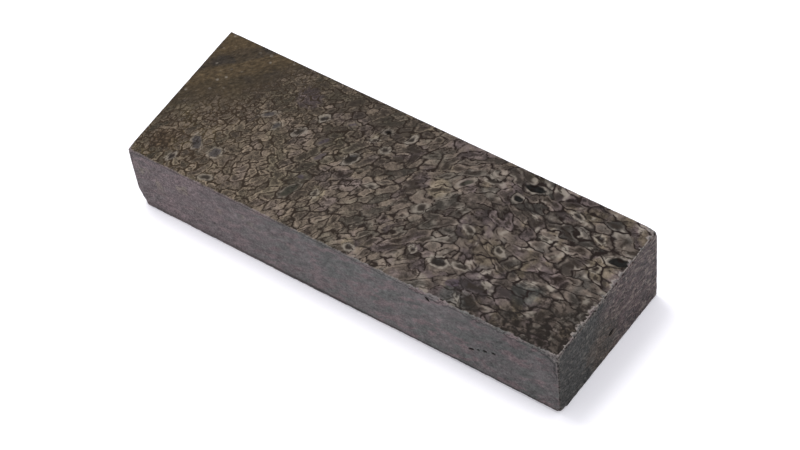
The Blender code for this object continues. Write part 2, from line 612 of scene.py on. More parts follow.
    def wall_points(self, step):
        """Return points along the walls, and points beside them, among the straight-walled cells."""
        gap = BESIDE_WALL * self.wall_width
        on_wall, beside = [], []
        for start, end in self.wall_ends:
            tips = ungrow(np.array([start, end]))
            length = abs(tips[1] - tips[0])
            if not length < LONGEST_WALL:
                continue
            count = max(1, math.ceil(length / step))
            line = ungrow(start + (end - start) * np.arange(count + 1) / count)
            ahead = np.gradient(line)
            across = 1j * ahead / np.maximum(np.abs(ahead), 1e-9)
            on_wall.append(line)
            beside += [line + across * gap, line - across * gap]
        return np.concatenate(on_wall), np.concatenate(beside)

    def nearest_seeds(self, grown):
        """Return the numbers of the seeds nearest to each point of the growth plane, the nearest first."""
        tree = kdtree.KDTree(len(self.seeds))
        for index, seed in enumerate(self.seeds):
            tree.insert(Vector((seed.real, seed.imag, 0.0)), index)
        tree.balance()
        return np.array([[hit[1] for hit in tree.find_n(Vector((point.real, point.imag, 0.0)), NEIGHBOURS)]
                         for point in grown])

    def describe(self, places):
        """Return facts about the cells at places on the face, by name."""
        straight = places - self.wander(places)
        size = self.size(straight)
        grown = grow(straight)
        near = self.nearest_seeds(grown)
        seeds = self.seeds[near]
        squared = np.abs(grown[:, None] - seeds) ** 2
        gaps = (squared[:, 1:] - squared[:, :1]) / (2 * np.abs(seeds[:, 1:] - seeds[:, :1])) / self.step
        own = self.cells[near[:, 0]]
        gaps = np.where(self.cells[near[:, 1:]] == own[:, None], FAR_OFF, gaps)
        nearest = np.argmin(gaps, axis=1)
        rows = np.arange(len(places))
        gap = gaps[rows, nearest]
        soft = -CORNER_SOFTNESS * np.log(np.exp(-gaps / CORNER_SOFTNESS).sum(axis=1) + 1e-12)
        deepest = np.zeros(self.cell_count)
        np.maximum.at(deepest, own, gap)
        chances = self.cell_chances()
        heart, reach = self.hearts.reach(places + HEART_WOBBLE * noise_at(places, HEART_WAVES))
        heart_tint, heart_dig = np.array([HEART_KINDS[row[5]] for row in HEARTS])[heart].T
        return {
            "flow": np.stack([grown.real, grown.imag, 0 * size], axis=-1) / self.step,
            "wall": soft * size,
            "strength": pair_chances(own, self.cells[near[rows, nearest + 1]]),
            "depth": np.clip(gap / np.maximum(deepest[own], 1e-6), 0, 1),
            "tone": chances[own, 0],
            "tint": chances[own, 1],
            "chance": np.where(own < len(HEARTS), 0.0, chances[own, 2]),
            "size": size,
            "heart": reach,
            "heart_tint": heart_tint,
            "heart_dig": heart_dig,
        }

    def cell_chances(self):
        """Return each cell's tone, tint and chance of a core or a light middle, at random from 0 to 1."""
        chances = np.random.default_rng(self.cell_count).random((self.cell_count, 3))
        chances[self.small_cells] = chances[self.small_cells] * SMALL_CELL_SPREAD + SMALL_CELL_CHANCES
        return chances


SINE_HASH = (12.9898, 78.233, 43758.5453)


def pair_chances(first, second):
    """Return a number from 0 to 1 for each pair of cells, which looks random and stays the same."""
    low, high = np.minimum(first, second), np.maximum(first, second)
    low_turn, high_turn, stretch = SINE_HASH
    return np.modf(np.abs(np.sin(low * low_turn + high * high_turn)) * stretch)[0]


# ---------------------------------------------------------------------------------------------------------
# The block's mesh
# ---------------------------------------------------------------------------------------------------------

# Spacing of the points along the block's edges, along the cell walls and round the hearts and pits, and of
# the grids that fill the rest, in millimetres
ARRIS_STEP = 0.20
TOP_EDGE_STEP = 0.30
UPRIGHT_EDGE_STEP = 0.45
BOTTOM_EDGE_STEP = 0.60
WALL_STEP = 0.28
HEART_STEP = 0.22
PIT_STEP = 0.20
CELL_GRID = 0.48
SIDE_GRID = 0.75
RESTING_GRID = 1.5

# Distances of the rows of points beside an edge and of the rings round a heart or a pit, in millimetres
TOP_EDGE_ROWS = (0.16, 0.34, 0.55, 0.8, 1.1)
PLAIN_EDGE_ROWS = (0.2, 0.5, 0.95)
RING_GAPS = (-0.4, -0.2, 0.0, 0.2, 0.42)
EDGE_MARGIN = 0.12

# How near a point may come to those laid before it, in millimetres, or over the spacing of a plain grid
ROW_ROOM = 0.13
RING_ROOM = 0.13
WALL_ROOM = 0.14
BESIDE_WALL_ROOM = 0.17
CELL_GRID_ROOM = 0.34
PLAIN_GRID_ROOM = 0.62


def edge_step(first, second):
    """Return the spacing of points along the edge between two corners."""
    heights = CORNERS[first][2], CORNERS[second][2]
    if heights == (1, 1):
        return ARRIS_STEP if CORNERS[first][0] == CORNERS[second][0] == 1 else TOP_EDGE_STEP
    return BOTTOM_EDGE_STEP if heights == (-1, -1) else UPRIGHT_EDGE_STEP


class Shell:
    """The block's closed shell: points in millimetres, and triangles that share them."""

    def __init__(self, planes):
        self.corners = block_corners(planes)
        self.points = self.corners
        self.frames = {name: FaceFrame(name, planes, self.corners) for name in FACES}
        self.triangles = {}
        self.numbers = {}
        self.edges = {}

    def add(self, points):
        """Add points and return their numbers."""
        first = len(self.points)
        self.points = np.concatenate([self.points, points])
        return np.arange(first, len(self.points))

    def edge(self, first, second):
        """Return the numbers of the points from one corner to another, both ends included."""
        if (second, first) in self.edges:
            return self.edges[(second, first)][::-1]
        if (first, second) not in self.edges:
            start, end = self.corners[first], self.corners[second]
            count = math.ceil(np.linalg.norm(end - start) / edge_step(first, second))
            shares = (np.arange(1, count) / count)[:, None]
            between = self.add(start + (end - start) * shares)
            self.edges[(first, second)] = np.concatenate([[first], between, [second]])
        return self.edges[(first, second)]

    def sides(self, face):
        """Return the pairs of corners that a face's edges run between."""
        return list(zip(face.loop, face.loop[1:] + face.loop[:1]))

    def edge_rows(self, face):
        """Return rows of points beside each edge of a face, where the edge is worn."""
        rows = []
        for first, second in self.sides(face):
            line = face.flat(self.points[self.edge(first, second)])
            ahead = (line[-1] - line[0]) / np.linalg.norm(line[-1] - line[0])
            inward = np.array((-ahead[1], ahead[0]))
            top = CORNERS[first][2] == CORNERS[second][2] == 1
            rows += [line + inward * depth for depth in (TOP_EDGE_ROWS if top else PLAIN_EDGE_ROWS)]
        return np.concatenate(rows)

    def fill(self, name, batches):
        """Close a face with triangles through its edge points and batches of flat points with their room."""
        face = self.frames[name]
        loop = np.concatenate([self.edge(first, second)[:-1] for first, second in self.sides(face)])
        rim = face.flat(self.points[loop])
        batches = [(self.edge_rows(face), ROW_ROOM)] + batches
        inner = spread_out(batches, rim, face.flat(self.corners[face.loop]))
        numbers = np.concatenate([loop, self.add(face.solid(inner))])
        flat = [Vector(point) for point in np.concatenate([rim, inner])]
        self.numbers[name] = numbers
        self.triangles[name] = numbers[triangulate(flat, [list(range(len(loop)))], INSIDE_LOOPS)]


def hex_grid(corners, step):
    """Return points of a triangular grid over the corners' bounds."""
    low, high = corners.min(axis=0), corners.max(axis=0)
    across = np.arange(low[0], high[0], step)
    up = np.arange(low[1], high[1], step * math.sqrt(3) / 2)
    return np.array([(x + step / 2 * (row % 2), y) for row, y in enumerate(up) for x in across])


def spread_out(batches, rim, corners):
    """Keep the points of each batch that lie inside the corners and don't crowd an earlier point."""
    pitch = 0.5     # side of the bins that neighbours are looked up in
    bins = {}

    def bin_of(x, y):
        return int(x // pitch), int(y // pitch)

    for x, y in rim:
        bins.setdefault(bin_of(x, y), []).append((x, y))
    kept = []
    for points, room in batches:
        inside = np.ones(len(points), bool)
        for start, end in zip(corners, np.roll(corners, -1, axis=0)):
            ahead = (end - start) / np.linalg.norm(end - start)
            offset = points - start
            inside &= ahead[0] * offset[:, 1] - ahead[1] * offset[:, 0] > EDGE_MARGIN
        for x, y in points[inside]:
            column, row = bin_of(x, y)
            near = [spot for i in (column - 1, column, column + 1) for j in (row - 1, row, row + 1)
                    for spot in bins.get((i, j), ())]
            if all((x - u) ** 2 + (y - v) ** 2 >= room * room for u, v in near):
                bins.setdefault((column, row), []).append((x, y))
                kept.append((x, y))
    return np.array(kept)


# How each edge is worn: how much it is chipped at its -X end and at its +X end, from 0 to 1, how round it is
# at both ends, in millimetres, and how pale its rim is
EDGE_WEAR = {
    ("polished", "near side"): (0.05, 0.32, 0.08, 0.12, 0.35),
    ("polished", "coarse end"): (0.7, 0.7, 0.05, 0.05, 0.9),
    ("near side", "coarse end"): (0.25, 0.25, 0.10, 0.10, 0.35),
    ("polished", "far side"): (0.03, 0.08, 0.0, 0.0, 0.2),
    ("polished", "dense end"): (0.05, 0.05, 0.0, 0.0, 0.2),
    ("resting", "near side"): (0.2, 0.15, 0.30, 1.15, 0.0),
    ("resting", "coarse end"): (0.15, 0.15, 0.30, 0.30, 0.2),
}
OTHER_EDGE_WEAR = (0.12, 0.12, 0.1, 0.1, 0.1)
WEAR_REACH = 2.5             # how far from an edge its wear is worked out, in millimetres
WEAR_CHANGE = (-12.0, 30.0)  # where along the block wear goes from the one end's to the other's
CHIP_WAVES = (0.42, 1.3)     # chips per millimetre, coarse and fine
LEAST_CHIP = 0.15            # how deep the edge is chipped everywhere, over its chips' size
CHIP_DEPTH = 0.45            # how deep a chip is where it starts, over the same
CHIP_SHOWS = (0.03, 0.2)     # how much rounder than a sharp edge an edge is where it looks chipped
WORN_CORNERS = {(1, 1, 1): 0.8, (1, -1, 1): 0.6, (-1, -1, 1): 0.5, (1, -1, -1): 0.8}    # radii in millimetres
KNOCK_REACH = 2.2            # how far from a knocked corner its rounding reaches, in millimetres
KNOCK_FADE = 1.2             # over how much of that the rounding fades out
ROUNDING_PASSES = 3          # passes that move a point's centre inside all faces at once


def worn_radius(points, planes, sizes):
    """Return each point's edge radius and distance from its edge, and how pale that edge is."""
    gaps = {name: distance - points @ normal for name, (normal, distance) in planes.items()}
    sharp = sizes.edge_radius / MM
    radius = np.full(len(points), sharp)
    pale = np.zeros(len(points))
    faces = list(FACES)
    for row, first in enumerate(faces):
        for second in faces[row + 1:]:
            wear = EDGE_WEAR.get((first, second), OTHER_EDGE_WEAR)
            start_chips, end_chips, start_round, end_round, rim = wear
            along = np.cross(planes[first][0], planes[second][0])
            for index in np.flatnonzero((gaps[first] < WEAR_REACH) & (gaps[second] < WEAR_REACH)):
                place = points[index] @ along
                chips = sum(noise.noise(Vector((place * waves, row, waves))) for waves in CHIP_WAVES)
                turn = smooth_step(points[index][0], *WEAR_CHANGE)
                chipped = (start_chips + (end_chips - start_chips) * turn) * sizes.chip_size / MM
                deep = chipped * (LEAST_CHIP + smooth_step(chips, 0.0, 0.15) * (CHIP_DEPTH + max(chips, 0.0)))
                deep += start_round + (end_round - start_round) * turn
                radius[index] = max(radius[index], sharp + deep)
                pale[index] = max(pale[index], rim)
    for signs, knocked in WORN_CORNERS.items():
        away = np.linalg.norm(points - block_corners(planes)[CORNERS.index(signs)], axis=1)
        radius = np.maximum(radius, knocked * smooth_step(KNOCK_REACH - away, 0.0, KNOCK_FADE))
    from_edge = np.sort(np.stack(list(gaps.values())), axis=0)[1]
    return radius, from_edge, pale


def wear_edges(points, planes, radius):
    """Round the block's edges to each point's radius, and cut the broken corner flat."""
    centre = points.copy()
    for _ in range(ROUNDING_PASSES):
        for normal, distance in planes.values():
            over = centre @ normal - distance + radius
            centre -= np.maximum(over, 0)[:, None] * normal
    out = points - centre
    length = np.linalg.norm(out, axis=1)
    return centre + out * np.minimum(1, radius / np.maximum(length, 1e-9))[:, None]


def build_shell(sizes):
    """Build the block's shell and return its points once worn, the shell, and its facts by name."""
    planes = flat_faces(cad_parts[CAD_NODE])
    shell = Shell(planes)
    top = shell.frames["polished"]
    cells = CellMap(sizes, as_places(top.flat(shell.corners[top.loop])))
    on_wall, beside = cells.wall_points(WALL_STEP)
    on_wall, beside = as_flat(cells.bend(on_wall)), as_flat(cells.bend(beside))
    shell.fill("polished", [
        (as_flat(cells.hearts.rings(HEART_STEP, RING_GAPS, HEART_WOBBLE)), RING_ROOM),
        (on_wall, WALL_ROOM),
        (beside, BESIDE_WALL_ROOM),
        (hex_grid(top.flat(shell.corners[top.loop]), CELL_GRID), CELL_GRID_ROOM),
    ])
    pits = {}
    for name, face in shell.frames.items():
        if name == "polished":
            continue
        corners = face.flat(shell.corners[face.loop])
        batches = []
        if name in SAWN_PITS:
            pits[name] = face_pits(face, corners, SAWN_PITS[name])
            batches.append((as_flat(pits[name].rings(PIT_STEP, RING_GAPS)), RING_ROOM))
        step = RESTING_GRID if name == "resting" else SIDE_GRID
        shell.fill(name, batches + [(hex_grid(corners, step), PLAIN_GRID_ROOM * step)])
    facts = shell_facts(shell, cells, pits)
    radius, from_edge, facts["pale"] = worn_radius(shell.points, planes, sizes)
    facts["edge"] = np.minimum(from_edge / radius, INSIDE)
    facts["chip"] = smooth_step(radius, *(sizes.edge_radius / MM + more for more in CHIP_SHOWS))
    low, high = np.array(CAD_BOX) / MM
    return np.clip(wear_edges(shell.points, planes, radius), low, high), shell, facts


def face_pits(face, corners, rows):
    """Place a sawn face's pits by their distance from its left end and from its top edge."""
    *_, top_right, top_left = corners
    ahead = (top_right - top_left) / np.linalg.norm(top_right - top_left)
    down = np.array((ahead[1], -ahead[0]))
    middles = [top_left + ahead * row[0] + down * row[1] for row in rows]
    return Ovals([complex(*middle) for middle in middles], [row[2:5] for row in rows])


# Where a face's relief starts and is full, in millimetres from its edges
POLISHED_RELIEF = (0.1, 0.6)
SAWN_RELIEF = (0.3, 1.2)

# Where a hollow and a pit start and are full, in millimetres inside their rims
HOLLOW_WALL = (-0.05, 0.7)
PIT_WALL = (-0.05, 0.3)
PIT_DIG = 0.8       # how deep pits are, over the depth of a hollow
OUTSIDE = -9.0      # stands for far outside a rim, in millimetres
INSIDE = 3.0        # stands for far from the edges, in edge radii


def shell_facts(shell, cells, pits):
    """Return the facts that the surface and its relief are worked out from, one value for each point."""
    count = len(shell.points)
    top = shell.numbers["polished"]
    places = {name: as_places(face.flat(shell.points[shell.numbers[name]]))
              for name, face in shell.frames.items()}
    facts = {}
    for name, values in cells.describe(places["polished"]).items():
        facts[name] = np.full((count, *values.shape[1:]), OUTSIDE if name == "heart" else 0.0)
        facts[name][top] = values
    for name, start in (("relief", 0.0), ("pit", OUTSIDE), ("sawn", 0.0), ("end", 0.0)):
        facts[name] = np.full(count, start)
    inset = distance_from_rim(shell, "polished", places["polished"])
    facts["relief"][top] = smooth_step(inset, *POLISHED_RELIEF)
    for name, ovals in pits.items():
        facts["pit"][shell.numbers[name]] = ovals.reach(places[name])[1]
    facts["dig"] = facts.pop("heart_dig") * smooth_step(facts["heart"], *HOLLOW_WALL)
    facts["dig"] += PIT_DIG * smooth_step(facts["pit"], *PIT_WALL)
    for name in ("near side", "far side", "dense end", "coarse end"):
        numbers = shell.numbers[name]
        facts["sawn"][numbers] = smooth_step(distance_from_rim(shell, name, places[name]), *SAWN_RELIEF)
    for name in ("dense end", "coarse end"):
        facts["end"][shell.numbers[name]] = 1.0
    return facts


def distance_from_rim(shell, name, places):
    """Return how far each place on a face is from the face's nearest edge."""
    face = shell.frames[name]
    corners = as_places(face.flat(shell.corners[face.loop]))
    gaps = []
    for start, end in zip(corners, np.roll(corners, -1)):
        gaps.append(((places - start) * np.conj((end - start) / abs(end - start))).imag)
    return np.min(gaps, axis=0)


# ---------------------------------------------------------------------------------------------------------
# Nodes written as expressions
# ---------------------------------------------------------------------------------------------------------

class Number:
    """A node's number socket that takes part in arithmetic."""

    def __init__(self, nodes, socket):
        self.nodes = nodes
        self.socket = socket

    def math(self, operation, *values):
        """Add a Math node and return its result."""
        node = self.nodes.add("ShaderNodeMath", {"operation": operation}, dict(enumerate(values)))
        return Number(self.nodes, node.outputs[0])

    def __add__(self, other):
        return self.math("ADD", self, other)

    def __radd__(self, other):
        return self.math("ADD", other, self)

    def __sub__(self, other):
        return self.math("SUBTRACT", self, other)

    def __rsub__(self, other):
        return self.math("SUBTRACT", other, self)

    def __mul__(self, other):
        return self.math("MULTIPLY", self, other)

    def __rmul__(self, other):
        return self.math("MULTIPLY", other, self)

    def __truediv__(self, other):
        return self.math("DIVIDE", self, other)

    def at_most(self, other):
        return self.math("MINIMUM", self, other)

    def at_least(self, other):
        return self.math("MAXIMUM", self, other)

    def swing(self, amount):
        """Turn noise between 0 and 1 into a swing about nothing."""
        return (self - 0.5) * amount

    def step(self, low, high):
        """Rise smoothly from 0 where the number is low to 1 where it is high, or fall if low is larger."""
        rising = {0: self, 1: min(low, high), 2: max(low, high), 3: float(low > high), 4: float(low <= high)}
        node = self.nodes.add("ShaderNodeMapRange", {"interpolation_type": "SMOOTHSTEP"}, rising)
        return Number(self.nodes, node.outputs[0])


class Nodes:
    """Adds nodes to a tree, sets them and links them."""

    def __init__(self, tree):
        self.tree = tree

    def add(self, kind, settings=None, inputs=None):
        """Add a node, change its settings, and then feed its inputs by name or number."""
        node = self.tree.nodes.new(kind)
        for name, value in (settings or {}).items():
            setattr(node, name, value)
        for name, value in (inputs or {}).items():
            self.feed(node.inputs[name], value)
        return node

    def feed(self, socket, value):
        """Link a socket to another, or set its value."""
        value = value.socket if isinstance(value, Number) else value
        if isinstance(value, bpy.types.NodeSocket):
            self.tree.links.new(value, socket)
        else:
            socket.default_value = value

    def number(self, kind, settings=None, inputs=None, output=0):
        """Add a node and return one of its outputs as a number."""
        return Number(self, self.add(kind, settings, inputs).outputs[output])

    def fact(self, name):
        """Read one of the mesh's facts in a material."""
        return self.number("ShaderNodeAttribute", {"attribute_name": name}, output="Fac")

    def vector_fact(self, name):
        return self.add("ShaderNodeAttribute", {"attribute_name": name}).outputs["Vector"]

    def mix(self, share, first, second):
        """Mix two colours and return the socket of the result."""
        first, second = [colour if isinstance(colour, bpy.types.NodeSocket) else (*colour, 1.0)
                         for colour in (first, second)]
        return self.add("ShaderNodeMix", {"data_type": "RGBA"}, {0: share, 6: first, 7: second}).outputs[2]

    def over(self, colour, *layers):
        """Lay layers over a colour, each a share and a colour, and return the socket of the result."""
        for share, layer in layers:
            colour = self.mix(share, colour, layer)
        return colour

    def scaled(self, colour, amount):
        """Brighten or darken a colour."""
        settings = {"operation": "SCALE"}
        return self.add("ShaderNodeVectorMath", settings, {0: colour, "Scale": amount}).outputs[0]

    def noise(self, place, scale, detail=2.0, roughness=0.5):
        """Return cloudy noise between 0 and 1."""
        inputs = {"Vector": place, "Scale": scale, "Detail": detail, "Roughness": roughness}
        return self.number("ShaderNodeTexNoise", {}, inputs)

    def warped(self, place, scale, amount):
        """Shift a place about by noise."""
        shift = self.add("ShaderNodeTexNoise", {}, {"Vector": place, "Scale": scale}).outputs["Color"]
        inputs = {0: shift, 1: (amount, amount, amount), 2: place}
        return self.add("ShaderNodeVectorMath", {"operation": "MULTIPLY_ADD"}, inputs).outputs[0]

    def cells(self, place, scale, feature):
        """Return the distance to the middle or to the edge of the nearest cell of a Voronoi texture."""
        return self.number("ShaderNodeTexVoronoi", {"feature": feature}, {"Vector": place, "Scale": scale},
                           output="Distance")

    def turned(self, place, degrees=(0, 0, 0), scale=(1, 1, 1)):
        """Turn a place and then stretch it."""
        angles = [math.radians(angle) for angle in degrees]
        turn = self.add("ShaderNodeMapping", {}, {"Vector": place, "Rotation": angles})
        return self.add("ShaderNodeMapping", {}, {"Vector": turn.outputs[0], "Scale": scale}).outputs[0]

    def parts(self, place):
        """Return the x, y and z of a place."""
        node = self.add("ShaderNodeSeparateXYZ", {}, {0: place})
        return [Number(self, output) for output in node.outputs]


# ---------------------------------------------------------------------------------------------------------
# Relief of the surface
# ---------------------------------------------------------------------------------------------------------

TROUGH = (1.2, 0.2)     # where a wall's trough starts and is full, over the wall width


def relief_tree():
    """Sink the cell walls, dig the hollows and pits, and ripple the sawn faces, all along the normal."""
    tree = bpy.data.node_groups.new("bone relief", "GeometryNodeTree")
    face = tree.interface
    face.new_socket("Geometry", in_out="INPUT", socket_type="NodeSocketGeometry")
    for name in ("Wall Depth", "Wall Width", "Hollow Depth", "Ripple Height", "Ripple Scale"):
        face.new_socket(name, in_out="INPUT", socket_type="NodeSocketFloat")
    face.new_socket("Material", in_out="INPUT", socket_type="NodeSocketMaterial")
    face.new_socket("Geometry", in_out="OUTPUT", socket_type="NodeSocketGeometry")
    nodes = Nodes(tree)
    given = nodes.add("NodeGroupInput")

    def size(name):
        return Number(nodes, given.outputs[name])

    def fact(name):
        return nodes.number("GeometryNodeInputNamedAttribute", {"data_type": "FLOAT"}, {"Name": name},
                            output="Attribute")

    wall = (fact("wall") / size("Wall Width")).step(*TROUGH)
    place = nodes.add("GeometryNodeInputPosition").outputs[0]
    ripple = nodes.noise(place, size("Ripple Scale"), 3.0) - 0.5
    sunk = fact("relief") * wall * size("Wall Depth")
    dug = fact("dig") * size("Hollow Depth")
    rippled = fact("sawn") * ripple.at_most(0.0) * size("Ripple Height")
    inward = rippled - sunk - dug
    normal = nodes.add("GeometryNodeInputNormal").outputs[0]
    shift = {"Geometry": given.outputs["Geometry"], "Offset": nodes.scaled(normal, inward)}
    moved = nodes.add("GeometryNodeSetPosition", {}, shift)
    real = nodes.add("GeometryNodeRealizeInstances", {}, {"Geometry": moved.outputs[0]})
    coat = {"Geometry": real.outputs[0], "Material": given.outputs["Material"]}
    dressed = nodes.add("GeometryNodeSetMaterial", {}, coat)
    nodes.feed(nodes.add("NodeGroupOutput").inputs[0], dressed.outputs[0])
    return tree


def apply_relief(block, sizes, material):
    """Run the relief tree on the block and keep the result as its plain mesh."""
    tree = relief_tree()
    modifier = block.modifiers.new("relief", "NODES")
    modifier.node_group = tree
    values = {
        "Wall Depth": sizes.wall_depth,
        "Wall Width": sizes.wall_width / MM,
        "Hollow Depth": sizes.hollow_depth,
        "Ripple Height": sizes.ripple_height,
        "Ripple Scale": 1.0 / sizes.ripple_size,
        "Material": material,
    }
    for item in tree.interface.items_tree:
        if item.in_out == "INPUT" and item.name in values:
            modifier[item.identifier] = values[item.name]
    depsgraph = bpy.context.evaluated_depsgraph_get()
    mesh = bpy.data.meshes.new_from_object(block.evaluated_get(depsgraph))
    block.modifiers.remove(modifier)
    block.data = mesh
    mesh.materials.clear()
    mesh.materials.append(material)


# ---------------------------------------------------------------------------------------------------------
# The polished face's colours
# ---------------------------------------------------------------------------------------------------------

# The zones of the polished face, by where along the block each starts and is full, in metres from its middle:
# the coarse half, the half whose clouds no longer follow the flow, the left and right ends, and the very tip
COARSE_ZONE = (-0.042, 0.034)
LEVEL_ZONE = (-0.020, 0.020)
LEFT_ZONE = (-0.018, -0.042)
RIGHT_ZONE = (-0.004, 0.032)
TIP_ZONE = (0.026, 0.048)

# The place of the block's origin on the polished face, in millimetres from the dense end and the far side
MIDDLE_ALONG = 63.0
MIDDLE_FROM_FAR = 22.5

# The bands of the dense bone: each one's colour, and where it starts and is full, in metres from the dense
# corner along the diagonal
DENSE_BANDS = (
    ("dense_slate", 0.0052, 0.0072),
    ("dense_ochre", 0.0098, 0.0114),
    ("dense_olive", 0.0132, 0.0160),
)
CORNER_TO_MIDDLE = 59.5 * MM            # from the middle of the block to the dense corner
ALONG_BANDS = (0, 0, -45)               # turns the pattern of the dense bone along its bands, in degrees
DENSE_CELLS = (1.45, 0.95)              # cells between these sizes give way to dense bone, in millimetres


def polished_bone(nodes, place, colours):
    """Return the colour of the polished face, its roughness and its height in bumps."""
    mottle = nodes.noise(place, 1000.0, 3.0, 0.6)
    grain = nodes.noise(place, 3000.0, 2.0, 0.6)
    cells = CellLook(nodes, place, colours, mottle, grain)
    broad = nodes.noise(place, 45.0, 2.0)
    dense = (cells.size + broad.swing(0.8)).step(*DENSE_CELLS)
    colour = nodes.mix(dense, cells.colour(), dense_bone(nodes, place, colours))
    roughness = 0.26 + cells.line * 0.2 + mottle.swing(0.12)
    return colour, roughness, mottle * 0.3 + grain * 0.2


class CellLook:
    """The look of the marrow cells: the masks that its layers share, and a method for each layer."""

    def __init__(self, nodes, place, colours, mottle, grain):
        self.nodes = nodes
        self.place = place
        self.colours = colours
        self.mottle = mottle
        self.grain = grain
        self.flow = nodes.vector_fact("flow")
        self.wall = nodes.fact("wall")
        self.size = nodes.fact("size")
        self.tone = nodes.fact("tone")
        self.tint = nodes.fact("tint") - 0.5
        self.chance = nodes.fact("chance")
        self.strength = nodes.fact("strength")
        self.patches = nodes.noise(place, 130.0, 2.0)
        self.find_zones()
        self.make_clouds()
        self.depth = nodes.fact("depth") + mottle.swing(0.6) + self.wisps.swing(0.8)
        self.line = self.wall_line()

    def find_zones(self):
        """Find how far each place lies in each zone, from 0 to 1."""
        self.x, self.y, _ = self.nodes.parts(self.place)
        self.coarse = (self.x + self.patches.swing(0.05)).step(*COARSE_ZONE)
        self.level = self.x.step(*LEVEL_ZONE)
        self.left = (self.x + self.patches.swing(0.03)).step(*LEFT_ZONE)
        self.right = self.x.step(*RIGHT_ZONE)
        self.tip = self.x.step(*TIP_ZONE)

    def make_clouds(self):
        """Make clouds and wisps that follow the flow at the dense end and lose it further along."""
        nodes, place = self.nodes, self.place
        even = nodes.turned(self.flow, scale=(1, STRETCH, 1))
        cloud = nodes.noise(even, 1.0, 2.0, 0.5)
        wisps = nodes.noise(nodes.warped(even, 1.6, 0.5), 2.3, 3.0, 0.6)
        level_cloud = nodes.noise(place, 330.0, 2.0, 0.5)
        level_wisps = nodes.noise(nodes.warped(place, 400.0, 0.001), 760.0, 3.0, 0.6)
        self.cloud = cloud + (level_cloud - cloud) * self.level
        self.wisps = wisps + (level_wisps - wisps) * self.level
        self.broad = nodes.noise(even, 0.45, 1.0) - 0.5

    def wall_line(self):
        """Return how full the dark line of the cell walls is."""
        width = 0.085 + self.strength * 0.05 + self.tip * 0.03 + self.cloud.swing(0.10)
        line = (self.wall + self.grain.swing(0.12)) / width.at_least(0.07).at_most(0.17)
        line = ((line - 1.25) * (1.0 - self.tip * 0.35) + 1.25).step(1.6, 0.9)
        full = 0.76 + self.strength * 0.08 + self.size.step(0.9, 2.4) * 0.16
        return line * full * (1.0 - self.left * 0.18)

    def colour(self):
        """Return the colour of the cells, with everything in them and between them."""
        filling = self.nodes.scaled(self.tinted(), self.brightness().at_least(0.3))
        for lay in (self.lay_islands, self.lay_cores, self.lay_hearts, self.lay_marks, self.lay_walls,
                    self.lay_dim_corner):
            filling = lay(filling)
        return filling

    def tinted(self):
        """Olive at the dense end, cooler at the coarse end, with plum, green and tan blotches and patches."""
        nodes, colours, coarse = self.nodes, self.colours, self.coarse
        blotch = self.patches + self.tint * 0.3
        tan = nodes.noise(self.place, 210.0, 2.0) + self.tint * 0.2
        filling = nodes.mix(coarse, colours.warm_filling, colours.cool_filling)
        green = nodes.mix(coarse, colours.green_filling, colours.teal_filling)
        filling = nodes.over(
            filling,
            (blotch.step(0.50, 0.68) * (0.15 + coarse * 0.45), colours.plum_filling),
            (blotch.step(0.47, 0.30) * (0.55 - coarse * 0.15), green),
            (tan.step(0.58, 0.72) * (0.4 + coarse * 0.15 + self.tip * 0.2), colours.tan_filling))
        for along, from_far, reach, name in TINTED_PATCHES:
            aside = (self.x - (along - MIDDLE_ALONG) * MM) / (reach * MM)
            ahead = (self.y - (MIDDLE_FROM_FAR - from_far) * MM) / (reach * MM)
            near = (aside * aside + ahead * ahead + self.cloud.swing(1.5)).step(1.0, 0.3)
            filling = nodes.mix(near * 0.65, filling, getattr(colours, name))
        return filling

    def brightness(self):
        """Return how bright the filling is, by the cell and its zone, its light lining and its middle."""
        x, coarse, chance = self.x, self.coarse, self.chance
        bright = 0.38 + coarse * 0.08 - x.step(-0.045, -0.010) * 0.10 - self.right * 0.16
        bright = bright + self.tone * (0.50 + coarse * 0.09)
        bright = bright + self.patches.swing(1.0 - coarse) * 0.35
        bright = bright - x.step(0.015, -0.015) * self.y.step(-0.002, 0.008) * 0.27 + self.tip * 0.06
        bright = bright + self.mottle.swing(1.6 - coarse * 0.7) + self.grain.swing(1.5 - coarse * 0.8)
        bright = bright + self.broad * self.right * 0.6 + self.cloud.swing(0.8 + coarse * 1.1)
        bright = bright + self.wisps.swing(0.8 - coarse * 0.2)
        rough_wall = self.wall + self.mottle.swing(0.5) + self.wisps.swing(0.5)
        lining = rough_wall.step(0.12, 0.36) * rough_wall.step(0.9, 0.45) * chance.step(0.15, 0.5)
        middle = self.depth.step(0.3, 0.9) * chance.step(0.45, 0.2)
        bright = bright + lining * (0.10 + coarse * 0.35) * self.cloud
        return bright + middle * (0.25 + x.step(0.025, 0.045) * 0.25)

    def lay_islands(self, filling):
        """Make the cells of the dense end pale-edged islands in brown and gold bone."""
        nodes = self.nodes
        inside = (self.wall + self.mottle.swing(0.2)) / self.size
        edge = (1.0 - self.coarse * 0.7) * inside.step(0.05, 0.11) * inside.step(0.25, 0.15)
        filling = nodes.scaled(filling, 1.0 + edge * (0.50 + self.chance * 0.35))
        gold = nodes.noise(self.place, 150.0, 3.0, 0.6).step(0.50, 0.66)
        bone = nodes.mix(gold, self.colours.brown_bone, self.colours.gold)
        bone = nodes.scaled(bone, 0.95 + self.grain.swing(2.0) + self.mottle.swing(1.2))
        thick = 0.06 + self.left * self.tint * 0.06 + self.x.step(-0.035, -0.055) * 0.08
        thick = (thick + self.patches.swing(0.2)).at_least(0.03)
        between = (inside / thick).step(1.3, 0.8)
        return nodes.mix(between * self.left * 0.8, filling, bone)

